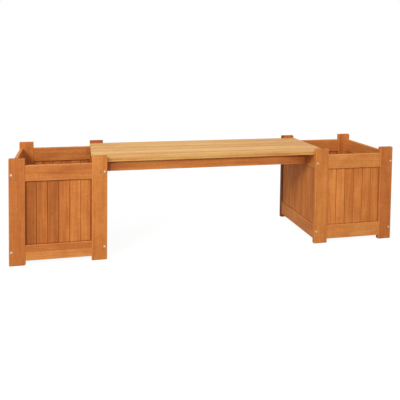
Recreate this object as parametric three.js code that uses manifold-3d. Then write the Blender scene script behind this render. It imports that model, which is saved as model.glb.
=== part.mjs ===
// A timber bench hung between two square planter boxes.
// Millimetres, +Z up, +X along the bench, -Y towards the sitter.
// The origin is on the ground under the middle of the bench.

import * as THREE from 'three';
import { mergeVertices } from 'three/addons/utils/BufferGeometryUtils.js';
import Module from 'manifold-3d';

const wasm = await Module();
wasm.setup();

// The whole bench
const benchLength = 1760;
const planterHeight = 445;

// Posts: flat boards that stand on the front and rear faces at the corners
const postWidth = 65;
const postThickness = 20;
const postEase = 3;
const postEndEase = 2;

// Upright slats, tongued together into panels
const slatWidth = 45;
const slatThickness = 8;
const frontSlats = 6;
const sideSlats = 8;
const jointWidth = 5;
const jointDepth = 2.4;

// Rails above and below each panel
const railWidth = 66;
const railThickness = 15;
const railEase = 2;
const footHeight = 18;
const sideRailSetback = 3;

// Grooves, tongues and tenons that hold the panels and the rails
const grooveDepth = 8;
const tongueLength = 7;
const tenonLength = 8;
const fit = 0.3;

// Bolts through the posts into the ends of the side rails, off the rails' middle towards the panel
const boltOffCentre = 5;
const boltRadius = 3;
const boltLength = 70;
const boltPointLength = 2.5;
const boltHeadRadius = 5.5;
const boltHeadHeight = 2.6;
const boltRimHeight = 0.9;
const domeShoulderShares = [0.6, 0.86];
const socketRadius = 2.3;
const socketDepth = 1.8;
const boltSides = 12;
const socketSides = 6;

// Seat boards, laid lengthwise between the front and rear posts
const seatBoards = 5;
const seatThickness = 18;
const seatBelowPosts = 11;
const seatEdgeRound = 6;
const seatEase = 1;
const seatBoardGap = 0.4;

// The frame under the seat: two aprons, a batten on edge across each end, a flat one across the middle
const apronHeight = 54;
const apronThickness = 20;
const apronSetback = 77.5;
const apronEase = 2;
const endBattenThickness = 20;
const middleBattenWidth = 45;
const middleBattenThickness = 20;

// Slatted floor of each planter
const floorBoards = 5;
const floorThickness = 12;
const floorGap = 12;
const cleatWidth = 20;
const cleatHeight = 20;
const cleatHousing = 2;
const floorEase = 1;

// Boards that lie between the front and rear posts stay this far from them
const postGap = 1;

// Flats in each quarter of an eased arris, and of the seat's rounded edge
const easeFlats = 2;
const seatRoundFlats = 4;

// Cutting tools run this far past what they cut
const overrun = 5;

// Sizes that follow from the ones above
const planterWidth = frontSlats * slatWidth + 2 * postWidth;
const planterDepth = sideSlats * slatWidth + 2 * postThickness;
const bottomRailTop = footHeight + railWidth;
const seatBottom = planterHeight - seatBelowPosts - seatThickness;
const topRailBottom = seatBottom - railWidth;
const postX = planterWidth / 2 - postWidth / 2;
const postY = planterDepth / 2 - postThickness / 2;
const sideRailX = planterWidth / 2 - sideRailSetback - railThickness / 2;
const sideRailLength = planterDepth - 2 * postThickness;
const planterX = benchLength / 2 - planterWidth / 2;
const innerFaceX = benchLength / 2 - planterWidth + sideRailSetback;

const timber = (colour) => new THREE.MeshStandardMaterial({ color: colour, roughness: 0.55, metalness: 0 });
const postTimber = timber(0xc4773a);
const railTimber = timber(0xc97f3f);
const slatTimber = timber(0xc2702f);
const seatTimber = timber(0xdcae6e);
const apronTimber = timber(0xb9622f);
const floorTimber = timber(0xb87a45);
const zincPlate = new THREE.MeshStandardMaterial({ color: 0xd4d2cc, roughness: 0.35, metalness: 0.9 });

// A closed three.js geometry as a solid that can be joined and cut
function solid(geometry) {
  const bare = geometry.clone();
  bare.deleteAttribute('normal');
  bare.deleteAttribute('uv');
  const merged = mergeVertices(bare);
  const vertProperties = new Float32Array(merged.attributes.position.array);
  const triVerts = new Uint32Array(merged.index.array);
  return new wasm.Manifold(new wasm.Mesh({ numProp: 3, vertProperties, triVerts }));
}

// A solid back as a three.js geometry
function geometryOf(body) {
  const mesh = body.getMesh();
  const geometry = new THREE.BufferGeometry();
  const points = [];
  for (let i = 0; i < mesh.vertProperties.length; i += mesh.numProp) {
    points.push(mesh.vertProperties[i], mesh.vertProperties[i + 1], mesh.vertProperties[i + 2]);
  }
  geometry.setAttribute('position', new THREE.Float32BufferAttribute(points, 3));
  geometry.setIndex(Array.from(mesh.triVerts));
  geometry.computeVertexNormals();
  return geometry;
}

function block(x0, x1, y0, y1, z0, z1) {
  const geometry = new THREE.BoxGeometry(x1 - x0, y1 - y0, z1 - z0);
  geometry.translate((x0 + x1) / 2, (y0 + y1) / 2, (z0 + z1) / 2);
  return solid(geometry);
}

// A rectangle centred on the origin, each corner with a radius of its own, anticlockwise from the lower left
function roundedRectangle(width, height, radii) {
  const [lowerLeft, lowerRight, upperRight, upperLeft] = radii;
  const x = width / 2;
  const y = height / 2;
  const shape = new THREE.Shape();
  shape.moveTo(-x + lowerLeft, -y);
  shape.lineTo(x - lowerRight, -y);
  shape.absarc(x - lowerRight, -y + lowerRight, lowerRight, -Math.PI / 2, 0, false);
  shape.lineTo(x, y - upperRight);
  shape.absarc(x - upperRight, y - upperRight, upperRight, 0, Math.PI / 2, false);
  shape.lineTo(-x + upperLeft, y);
  shape.absarc(-x + upperLeft, y - upperLeft, upperLeft, Math.PI / 2, Math.PI, false);
  shape.lineTo(-x, -y + lowerLeft);
  shape.absarc(-x + lowerLeft, -y + lowerLeft, lowerLeft, Math.PI, Math.PI * 1.5, false);
  return shape;
}

// A board from its cross-section, centred on its length, which runs along Z; its ends eased where asked,
// and each quarter circle of its section drawn with so many flats
function sawn(shape, length, endEase = 0, flats = easeFlats) {
  const geometry = new THREE.ExtrudeGeometry(shape, {
    depth: length - 2 * endEase,
    curveSegments: flats,
    bevelEnabled: endEase > 0,
    bevelThickness: endEase,
    bevelSize: endEase,
    bevelOffset: -endEase,
    bevelSegments: easeFlats,
  });
  geometry.translate(0, 0, endEase - length / 2);
  return geometry;
}

// Turns a board so that its length runs along X and its section's upright stays up
function alongX(geometry) {
  return geometry.rotateZ(Math.PI / 2).rotateY(Math.PI / 2);
}

// The same for a length along Y
function alongY(geometry) {
  return geometry.rotateX(Math.PI / 2);
}

function place(group, name, geometry, material, x, y, z) {
  const mesh = new THREE.Mesh(geometry, material);
  mesh.name = name;
  mesh.position.set(x, y, z);
  group.add(mesh);
}

// A post's edge is grooved for the panel's tongue and the rails' tenons, and bored for two bolts.
// side is +1 where the groove is on the post's +X edge.
function postGeometry(side) {
  const radii = [postEase, postEase, postEase, postEase];
  const board = sawn(roundedRectangle(postWidth, postThickness, radii), planterHeight, postEndEase);
  board.translate(0, 0, planterHeight / 2);
  const grooveHalf = slatThickness / 2 + fit;
  const inner = side * (postWidth / 2 - tenonLength - fit);
  const outer = side * (postWidth / 2 + overrun);
  const groove = block(
    Math.min(inner, outer), Math.max(inner, outer),
    -grooveHalf, grooveHalf,
    footHeight, seatBottom,
  );
  let body = solid(board).subtract(groove);
  for (const height of boltHeights()) {
    const hole = boltBore(postThickness + overrun);
    hole.translate(boltOffset(side), 0, height);
    body = body.subtract(solid(hole));
  }
  return geometryOf(body);
}

// A clear bore for a bolt, centred on the origin and running along Y
function boltBore(length) {
  return new THREE.CylinderGeometry(boltRadius + fit, boltRadius + fit, length, boltSides);
}

// The heights of a post's two bolts
function boltHeights() {
  return [footHeight + railWidth / 2 + boltOffCentre, seatBottom - railWidth / 2 - boltOffCentre];
}

// From a post's middle to the line of its bolts, which is the middle of the side rail behind it
function boltOffset(side) {
  return side * (postX - sideRailX);
}

// A rail's section: thickness across X, width up Y, the slats' groove in its upper edge
function railShape() {
  const x = railThickness / 2;
  const y = railWidth / 2;
  const groove = slatThickness / 2 + fit;
  const shape = new THREE.Shape();
  shape.moveTo(-x + railEase, -y);
  shape.lineTo(x - railEase, -y);
  shape.absarc(x - railEase, -y + railEase, railEase, -Math.PI / 2, 0, false);
  shape.lineTo(x, y - railEase);
  shape.absarc(x - railEase, y - railEase, railEase, 0, Math.PI / 2, false);
  shape.lineTo(groove, y);
  shape.lineTo(groove, y - grooveDepth);
  shape.lineTo(-groove, y - grooveDepth);
  shape.lineTo(-groove, y);
  shape.lineTo(-x + railEase, y);
  shape.absarc(-x + railEase, y - railEase, railEase, Math.PI / 2, Math.PI, false);
  shape.lineTo(-x, -y + railEase);
  shape.absarc(-x + railEase, -y + railEase, railEase, Math.PI, Math.PI * 1.5, false);
  return shape;
}

// A front or rear bottom rail, with a haunched stub tenon at each end, as high as the groove leaves it
function frontRailGeometry() {
  const length = frontSlats * slatWidth;
  let body = solid(alongX(sawn(railShape(), length)));
  for (const side of [-1, 1]) {
    const shoulder = side * (length / 2 - overrun);
    const tip = side * (length / 2 + tenonLength);
    const tenon = block(
      Math.min(shoulder, tip), Math.max(shoulder, tip),
      -slatThickness / 2, slatThickness / 2,
      -railWidth / 2, railWidth / 2 - grooveDepth,
    );
    body = body.add(tenon);
  }
  return geometryOf(body);
}

// A side bottom rail, bored in both ends for the bolts
function sideRailGeometry() {
  let body = solid(alongY(sawn(railShape(), sideRailLength)));
  const boreDepth = boltLength - postThickness + fit;
  for (const side of [-1, 1]) {
    const bore = boltBore(boreDepth + overrun);
    bore.translate(0, side * (sideRailLength / 2 - boreDepth / 2 + overrun / 2), boltOffCentre);
    body = body.subtract(solid(bore));
  }
  return geometryOf(body);
}

// A panel of upright slats with a V on both faces at every joint; joints holds their places across it
function panelGeometry(width, joints) {
  const face = slatThickness / 2;
  const shape = new THREE.Shape();
  shape.moveTo(-width / 2, -face);
  for (const joint of joints) {
    shape.lineTo(joint - jointWidth / 2, -face);
    shape.lineTo(joint, -face + jointDepth);
    shape.lineTo(joint + jointWidth / 2, -face);
  }
  shape.lineTo(width / 2, -face);
  shape.lineTo(width / 2, face);
  for (const joint of [...joints].reverse()) {
    shape.lineTo(joint + jointWidth / 2, face);
    shape.lineTo(joint, face - jointDepth);
    shape.lineTo(joint - jointWidth / 2, face);
  }
  shape.lineTo(-width / 2, face);
  return sawn(shape, panelHeight());
}

// From the floor of the lower groove to just short of the top of the upper one
function panelHeight() {
  return topRailBottom + tongueLength - (bottomRailTop - grooveDepth);
}

function jointPlaces(slats) {
  return Array.from({ length: slats - 1 }, (_, i) => (i + 1 - slats / 2) * slatWidth);
}

// A domed bolt with a hexagon socket, its head's seat at y = 0 and its shank towards +Y
function boltGeometry() {
  const [acrossShare, upShare] = domeShoulderShares;
  const profile = [
    [0, -boltHeadHeight],
    [boltHeadRadius * acrossShare, -boltHeadHeight * upShare],
    [boltHeadRadius, -boltRimHeight],
    [boltHeadRadius, 0],
    [boltRadius, 0],
    [boltRadius, boltLength - boltPointLength],
    [boltRadius / 2, boltLength],
    [0, boltLength],
  ].map(([radius, y]) => new THREE.Vector2(radius, -y)).reverse();
  const body = solid(new THREE.LatheGeometry(profile, boltSides).rotateX(Math.PI));
  const socket = new THREE.CylinderGeometry(socketRadius, socketRadius, socketDepth + overrun, socketSides);
  socket.translate(0, -boltHeadHeight + socketDepth / 2 - overrun / 2, 0);
  return geometryOf(body.subtract(solid(socket)));
}

// Drained floor: boards across the planter, housed over a cleat on each side rail
function floorGeometry() {
  const width = 2 * sideRailX - railThickness;
  const depth = sideRailLength - 2 * postGap;
  const boardDepth = (depth - (floorBoards - 1) * floorGap) / floorBoards;
  const radii = [floorEase, floorEase, floorEase, floorEase];
  const boardTop = cleatHeight - cleatHousing + floorThickness;
  let body = null;
  for (const side of [-1, 1]) {
    const edge = side * width / 2;
    const inner = edge - side * cleatWidth;
    const cleat = block(Math.min(edge, inner), Math.max(edge, inner), -depth / 2, depth / 2, 0, cleatHeight);
    body = body ? body.add(cleat) : cleat;
  }
  for (let i = 0; i < floorBoards; i += 1) {
    const board = alongX(sawn(roundedRectangle(boardDepth, floorThickness, radii), width));
    board.translate(0, (i + 0.5) * boardDepth + i * floorGap - depth / 2, boardTop - floorThickness / 2);
    body = body.add(solid(board));
  }
  return geometryOf(body);
}

function planter(name, x) {
  const group = new THREE.Group();
  group.position.x = x;
  const bottomRailZ = footHeight + railWidth / 2;
  const topRailZ = seatBottom - railWidth / 2;
  const panelZ = bottomRailTop - grooveDepth + panelHeight() / 2;
  const ends = [['left', -1], ['right', 1]];
  const faces = [['front', -1], ['rear', 1]];
  const [lowerBoltZ, upperBoltZ] = boltHeights();

  for (const [face, sy] of faces) {
    for (const [end, sx] of ends) {
      place(group, `${name}_${face}_${end}_post`, postGeometry(-sx), postTimber, sx * postX, sy * postY, 0);
      for (const [level, z] of [['lower', lowerBoltZ], ['upper', upperBoltZ]]) {
        const bolt = boltGeometry();
        if (sy > 0) bolt.rotateZ(Math.PI);
        place(group, `${name}_${face}_${end}_${level}_bolt`, bolt, zincPlate,
          sx * sideRailX, sy * planterDepth / 2, z);
      }
    }
    place(group, `${name}_${face}_bottom_rail`, frontRailGeometry(), railTimber, 0, sy * postY, bottomRailZ);
    place(group, `${name}_${face}_top_rail`, frontRailGeometry().rotateX(Math.PI), railTimber,
      0, sy * postY, topRailZ);
    place(group, `${name}_${face}_panel`,
      panelGeometry(frontSlats * slatWidth + 2 * tongueLength, jointPlaces(frontSlats)), slatTimber,
      0, sy * postY, panelZ);
  }

  for (const [end, sx] of ends) {
    place(group, `${name}_${end}_side_bottom_rail`, sideRailGeometry(), railTimber,
      sx * sideRailX, 0, bottomRailZ);
    place(group, `${name}_${end}_side_top_rail`, sideRailGeometry().rotateY(Math.PI), railTimber,
      sx * sideRailX, 0, topRailZ);
    place(group, `${name}_${end}_side_panel`,
      panelGeometry(sideRailLength - 2 * fit, jointPlaces(sideSlats)).rotateZ(Math.PI / 2), slatTimber,
      sx * sideRailX, 0, panelZ);
  }

  place(group, `${name}_floor`, floorGeometry(), floorTimber, 0, 0, footHeight);
  return group;
}

// One seat board: the outer two have their outer upper edge well rounded
function seatBoardGeometry(width, length, frontRound, rearRound) {
  const shape = roundedRectangle(width, seatThickness, [seatEase, seatEase, rearRound, frontRound]);
  const flats = frontRound === rearRound ? easeFlats : seatRoundFlats;
  return sawn(shape, length, 0, flats);
}

// A board of the frame under the seat, its long arrises eased
function frameBoard(width, height, length) {
  return sawn(roundedRectangle(width, height, [apronEase, apronEase, apronEase, apronEase]), length);
}

function seat() {
  const group = new THREE.Group();
  const length = benchLength - 2 * planterWidth + 2 * postWidth;
  const depth = sideRailLength - 2 * postGap;
  const pitch = (depth + seatBoardGap) / seatBoards;
  const boardWidth = pitch - seatBoardGap;
  for (let i = 0; i < seatBoards; i += 1) {
    const frontRound = i === 0 ? seatEdgeRound : seatEase;
    const rearRound = i === seatBoards - 1 ? seatEdgeRound : seatEase;
    const board = seatBoardGeometry(boardWidth, length, frontRound, rearRound);
    place(group, `seat_board_${i + 1}`, alongX(board), seatTimber,
      0, (i + 0.5) * pitch - depth / 2 - seatBoardGap / 2, seatBottom + seatThickness / 2);
  }

  const apronY = planterDepth / 2 - apronSetback - apronThickness / 2;
  const apronLength = 2 * (innerFaceX - endBattenThickness);
  for (const [face, sy] of [['front', -1], ['rear', 1]]) {
    const apron = alongX(frameBoard(apronThickness, apronHeight, apronLength));
    place(group, `${face}_apron`, apron, apronTimber, 0, sy * apronY, seatBottom - apronHeight / 2);
  }

  const endBattenX = innerFaceX - endBattenThickness / 2;
  for (const [end, sx] of [['left', -1], ['right', 1]]) {
    const batten = alongY(frameBoard(endBattenThickness, apronHeight, 2 * apronY + apronThickness));
    place(group, `${end}_end_batten`, batten, apronTimber, sx * endBattenX, 0, seatBottom - apronHeight / 2);
  }
  const middle = alongY(frameBoard(middleBattenWidth, middleBattenThickness, 2 * apronY - apronThickness));
  place(group, 'middle_batten', middle, apronTimber, 0, 0, seatBottom - middleBattenThickness / 2);
  return group;
}

const bench = new THREE.Group();
bench.add(planter('left_planter', -planterX));
bench.add(planter('right_planter', planterX));
bench.add(seat());

export default bench;
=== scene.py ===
import math
import random

import bpy
from mathutils import Matrix, Vector


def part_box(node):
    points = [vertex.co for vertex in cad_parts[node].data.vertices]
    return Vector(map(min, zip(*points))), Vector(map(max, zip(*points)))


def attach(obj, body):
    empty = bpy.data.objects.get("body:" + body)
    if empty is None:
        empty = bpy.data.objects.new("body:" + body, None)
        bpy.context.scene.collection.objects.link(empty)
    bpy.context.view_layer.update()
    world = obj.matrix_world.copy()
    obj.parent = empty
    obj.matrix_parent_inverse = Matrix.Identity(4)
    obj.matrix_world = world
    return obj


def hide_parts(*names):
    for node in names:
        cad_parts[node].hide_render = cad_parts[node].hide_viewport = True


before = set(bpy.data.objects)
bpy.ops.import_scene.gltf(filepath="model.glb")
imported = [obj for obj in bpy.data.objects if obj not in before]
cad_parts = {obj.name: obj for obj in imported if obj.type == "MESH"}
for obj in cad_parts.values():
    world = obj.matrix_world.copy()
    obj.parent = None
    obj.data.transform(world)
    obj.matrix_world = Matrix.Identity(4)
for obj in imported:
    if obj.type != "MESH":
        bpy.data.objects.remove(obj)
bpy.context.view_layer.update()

scene = bpy.context.scene


# Corner posts
# Eight flat boards of oiled hardwood, two at the front and two at the rear of each planter, their
# feet on the ground. Planed all round with the arrises eased; the inner edge is ploughed for the
# slats, and the grain runs up the post.

POST_EASE = 0.003
POST_END_EASE = 0.002
POST_PLOUGH_HALF = 0.0043
POST_PLOUGH_DEPTH = 0.0083
ARC_STEPS = 3
SMALLEST_EASE = 0.0003
SHARP_ANGLE = math.radians(36)
# Two places on a board that are nearer than this are the same place
HAIR = 0.0001
# Rubbing on an arris fades out over this distance
WEAR_REACH = 0.0024
# How dark the painted shade on one post's narrow face is, and how far it comes round the arris
DARK_EDGE_DEPTH = 1.0
DARK_EDGE_REACH = 0.009
# Which real axis each of a board's own axes lies along: its length, its width, its thickness
STANDING = (2, 0, 1)


def corner_section(half_width, half_thickness, radii, inset=0.0, stops=(), soak_and_shade=None):
    """A board's section, anticlockwise from its lower left arris: (across, through, wear, seam) points.

    stops are the places across both broad faces that need a point of their own; the last argument
    tells how dark the wood is painted at (across, through): dried oil on some boards, painted shade on
    others.
    """
    points = []
    corners = ((-1, -1, math.pi), (1, -1, 1.5 * math.pi), (1, 1, 0.0), (-1, 1, 0.5 * math.pi))
    for (side, level, start), full_radius in zip(corners, radii):
        radius = max(full_radius - inset, SMALLEST_EASE)
        centre = Vector((side * (half_width - inset - radius), level * (half_thickness - inset - radius)))
        arc = [start + 0.5 * math.pi * k / ARC_STEPS for k in range(ARC_STEPS + 1)]
        on_arc = [centre + radius * Vector((math.cos(a), math.sin(a))) for a in arc]
        lead = WEAR_REACH * Vector((-math.sin(arc[0]), math.cos(arc[0])))
        tail = WEAR_REACH * Vector((-math.sin(arc[-1]), math.cos(arc[-1])))
        points.append((*(on_arc[0] - lead), 0.0))
        points += [(*point, 1.0) for point in on_arc]
        points.append((*(on_arc[-1] + tail), 0.0))
        if side == level:
            face = level * (half_thickness - inset)
            points += [(across, face, 0.0) for across in sorted(stops, reverse=side > 0)]
    return [(across, through, worn, soak_and_shade(across, through) if soak_and_shade else 0.0)
            for across, through, worn in points]


# Which log of the pile a board was cut from, where it isn't the first that came to hand
LOG_PICKS = {
    "left_planter_front_left_post": 4, "left_planter_front_right_post": 10,
    "right_planter_front_left_post": 6, "right_planter_front_right_post": 25,
}
# How far into a log a board may have been cut: along the grain, and across it either way
LOG_REACH = (3, 0.12, 0.12)


def board_shift(name):
    """How far into the log each board was cut, so that no two boards share their figure."""
    log = LOG_PICKS.get(name.removesuffix("_oiled"), "")
    draw = random.Random(f"{name}{log}")
    return Vector([draw.uniform(-reach, reach) for reach in LOG_REACH])


def sweep(name, axes, centre, rings, plough=None, tone=0.0, shift=None):
    """A closed board from rings of (along, section). plough is (first ring, last ring, section point, floor).

    tone is one value, or tells it from (along, across, through).
    """
    shift = board_shift(name) if shift is None else shift
    spots, wear, seam, end, faces = [], [], [], [], []
    count = len(rings[0][1])

    def spot(along, across, through, worn=0.0, sunk=0.0, capped=0.0):
        spots.append((along, across, through))
        wear.append(worn)
        seam.append(sunk)
        end.append(capped)
        return len(spots) - 1

    loops = []
    for k, (along, section) in enumerate(rings):
        capped = 1.0 if len(rings) > 2 and k in (0, len(rings) - 1) else 0.0
        loops.append([spot(along, *point, capped=capped) for point in section])
    for k in range(len(rings) - 1):
        for j in range(count):
            if plough and plough[0] <= k < plough[1] and j == plough[2]:
                continue
            n = (j + 1) % count
            faces.append((loops[k][j], loops[k][n], loops[k + 1][n], loops[k + 1][j]))
    if plough:
        first, last, j, floor = plough
        sunk = []
        for k in (first, last):
            along, section = rings[k]
            sunk.append([spot(along, floor, section[j + m][1], sunk=1.0) for m in (0, 1)])
        lips = [(loops[k][j], loops[k][j + 1]) for k in (first, last)]
        faces.append((lips[0][0], sunk[0][0], sunk[1][0], *[loops[k][j] for k in range(last, first, -1)]))
        faces.append((sunk[0][0], sunk[0][1], sunk[1][1], sunk[1][0]))
        faces.append((sunk[0][1], *[loops[k][j + 1] for k in range(first, last + 1)], sunk[1][1]))
        faces.append((lips[0][0], lips[0][1], sunk[0][1], sunk[0][0]))
        faces.append((lips[1][1], lips[1][0], sunk[1][0], sunk[1][1]))
    faces.append(tuple(reversed(loops[0])))
    faces.append(tuple(loops[-1]))
    if (axes[1] - axes[0]) % 3 == 2:
        # An odd order of axes turns every face inside out
        faces = [tuple(reversed(face)) for face in faces]

    placed = []
    for along_across_through in spots:
        point = Vector(centre)
        for value, axis in zip(along_across_through, axes):
            point[axis] += value
        placed.append(point)
    mesh = bpy.data.meshes.new(name)
    mesh.from_pydata(placed, [], faces)
    mesh.update()
    for label, kind, values in (
        ("grain", "FLOAT_VECTOR", [c for s in spots for c in Vector(s) + shift]),
        ("tone", "FLOAT", [tone(*spot) if callable(tone) else tone for spot in spots]),
        ("wear", "FLOAT", wear),
        ("seam", "FLOAT", seam),
        ("end", "FLOAT", end),
    ):
        layer = mesh.attributes.new(label, kind, "POINT")
        layer.data.foreach_set("vector" if kind == "FLOAT_VECTOR" else "value", values)
    mesh.shade_smooth()
    mesh.set_sharp_from_angle(angle=SHARP_ANGLE)
    piece = bpy.data.objects.new(name, mesh)
    scene.collection.objects.link(piece)
    return piece


def board(name, axes, low, high, radii, end_ease, plough=None, tone=0.0, stops=(), marks=(), soak_and_shade=None):
    """A planed board that fills a box: its four long arrises and its ends eased.

    marks are further places along it, as stops are across it; the last argument, dried oil and painted shade,
    sees (along, across, through).
    """
    centre = (low + high) / 2
    half = [(high[a] - low[a]) / 2 for a in axes]
    rings = []
    for k in range(ARC_STEPS + 1):
        turn = 0.5 * math.pi * k / ARC_STEPS
        rings.append((end_ease * (1 - math.cos(turn)), end_ease * (1 - math.sin(turn))))
    rings.append((end_ease + WEAR_REACH, 0.0))
    stations = [(-half[0] + along, inset) for along, inset in rings]
    ends = list(stations)
    if plough:
        side, start, stop = plough
        stations += [(start, 0.0), (stop, 0.0)]
    stations += [(along, 0.0) for along in marks]
    stations += [(-along, inset) for along, inset in reversed(ends)]
    sections = []
    for along, inset in stations:
        def soak_and_shade_here(across, through):
            return soak_and_shade(along, across, through)

        section = corner_section(half[1], half[2], radii, inset, stops, soak_and_shade_here if soak_and_shade else None)
        if plough:
            lips = [(side * (half[1] - inset), side * level * POST_PLOUGH_HALF, 0.0, 0.0)
                    for level in (-1, 1)]
            at = len(section) // 2 if side > 0 else len(section)
            section[at:at] = lips
        sections.append((along, section))
    cut = None
    if plough:
        at = len(sections[0][1]) // 2 - 1 if side > 0 else len(sections[0][1]) - 2
        cut = (len(ends), len(ends) + 1, at, side * (half[1] - POST_PLOUGH_DEPTH))
    return sweep(name, axes, centre, sections, cut, tone)


def tint(code):
    """An sRGB hex value as a linear colour."""
    parts = [int(code[i:i + 2], 16) / 255 for i in (1, 3, 5)]
    return (*[p / 12.92 if p <= 0.04045 else ((p + 0.055) / 1.055) ** 2.4 for p in parts], 1.0)


def add(tree, kind, inputs=None, **settings):
    """Adds a node with its settings; inputs maps sockets to values, to nodes or to nodes' outputs."""
    made = tree.nodes.new(kind)
    for key, value in settings.items():
        setattr(made, key, value)
    for key, value in (inputs or {}).items():
        if isinstance(value, bpy.types.Node):
            value = value.outputs[0]
        if isinstance(value, bpy.types.NodeSocket):
            tree.links.new(value, made.inputs[key])
        else:
            made.inputs[key].default_value = value
    return made


# The waves of the wood's pattern, in metres: (along the grain, across it)
FIGURE_WAVE = (0.55, 0.020)
STREAK_WAVE = (0.16, 0.0030)
CLOUD_WAVE = (0.10, 0.05)
CURL_WAVE = (0.012, 0.025)
# Open pores: dashes 12 mm long, drawn 1 mm wide, coarser than life so that they show
PORE_WAVE = (0.012, 0.0011)
# Gum flecks and pin knots, 25 mm long and 3 mm wide, a few to a board
FLECK_WAVE = (0.030, 0.0045)
# Growth rings 5 mm apart, cut out of a log that tapers, so that they run into long points
RING_PITCH = 0.005
LOG_TAPER = 0.022
RING_WANDER = 0.012
# How much each pattern moves the colour between deep and pale
FIGURE_SHARE = 0.62
STREAK_SHARE = 0.50
CLOUD_SHARE = 0.50
CURL_SHARE = 0.28
RING_SHARE = 0.10
# How much a pore, a fleck, the end grain and a rubbed arris change it
PORE_DARK = 0.35
FLECK_DARK = 0.45
END_DARK = 0.75
RUBBED_PALE = 0.45
# Where late wood begins and is full on the way through a ring, and pores and flecks in their noise
LATE_WOOD_FROM = (0.35, 1.0)
PORE_FROM = (0.62, 0.72)
FLECK_FROM = (0.72, 0.80)
# Planed wood under oil: how far its relief goes, and what part of it each pattern takes
RELIEF_DEPTH = 0.00035
RELIEF_STRENGTH = 0.55
STREAK_RELIEF = 0.7
LATE_WOOD_RELIEF = -0.25
PORE_RELIEF = -0.8
# What the streaks and the end grain do to the roughness
STREAK_GLOSS = 0.22
END_GLOSS = 0.15


def drawn_noise(tree, grain, wave, detail, roughness, distortion=0.0):
    """A noise drawn out along the grain into waves of this length and width."""
    length, width = wave
    drawn = add(tree, "ShaderNodeVectorMath", {0: grain, 1: (1 / length, 1 / width, 1 / width)},
                operation="MULTIPLY")
    return add(tree, "ShaderNodeTexNoise", {
        "Vector": drawn, "Scale": 1.0, "Detail": detail, "Roughness": roughness, "Distortion": distortion})


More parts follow.
